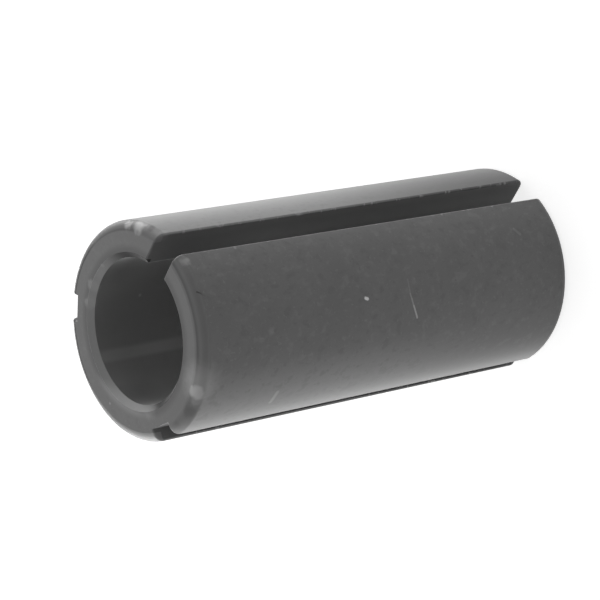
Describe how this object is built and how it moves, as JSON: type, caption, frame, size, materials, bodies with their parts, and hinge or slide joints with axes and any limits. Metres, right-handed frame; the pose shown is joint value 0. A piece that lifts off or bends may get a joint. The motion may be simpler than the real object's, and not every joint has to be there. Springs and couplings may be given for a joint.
{
  "type": "router collet reducer sleeve",
  "caption": "Split steel sleeve that fits a router's collet and grips a smaller cutter shank in its bore.",
  "frame": {"origin": "centre of the foot end, on the bore axis", "axes": "+Z along the bore axis, up to the end that the shank enters; +X towards the through slot"},
  "size_m": [0.012, 0.012, 0.0271],
  "materials": {
    "black_steel": "black oxide on turned steel, satin to matt"
  },
  "bodies": {
    "root": {"reducer_sleeve": "black_steel"}
  },
  "joints": []
}
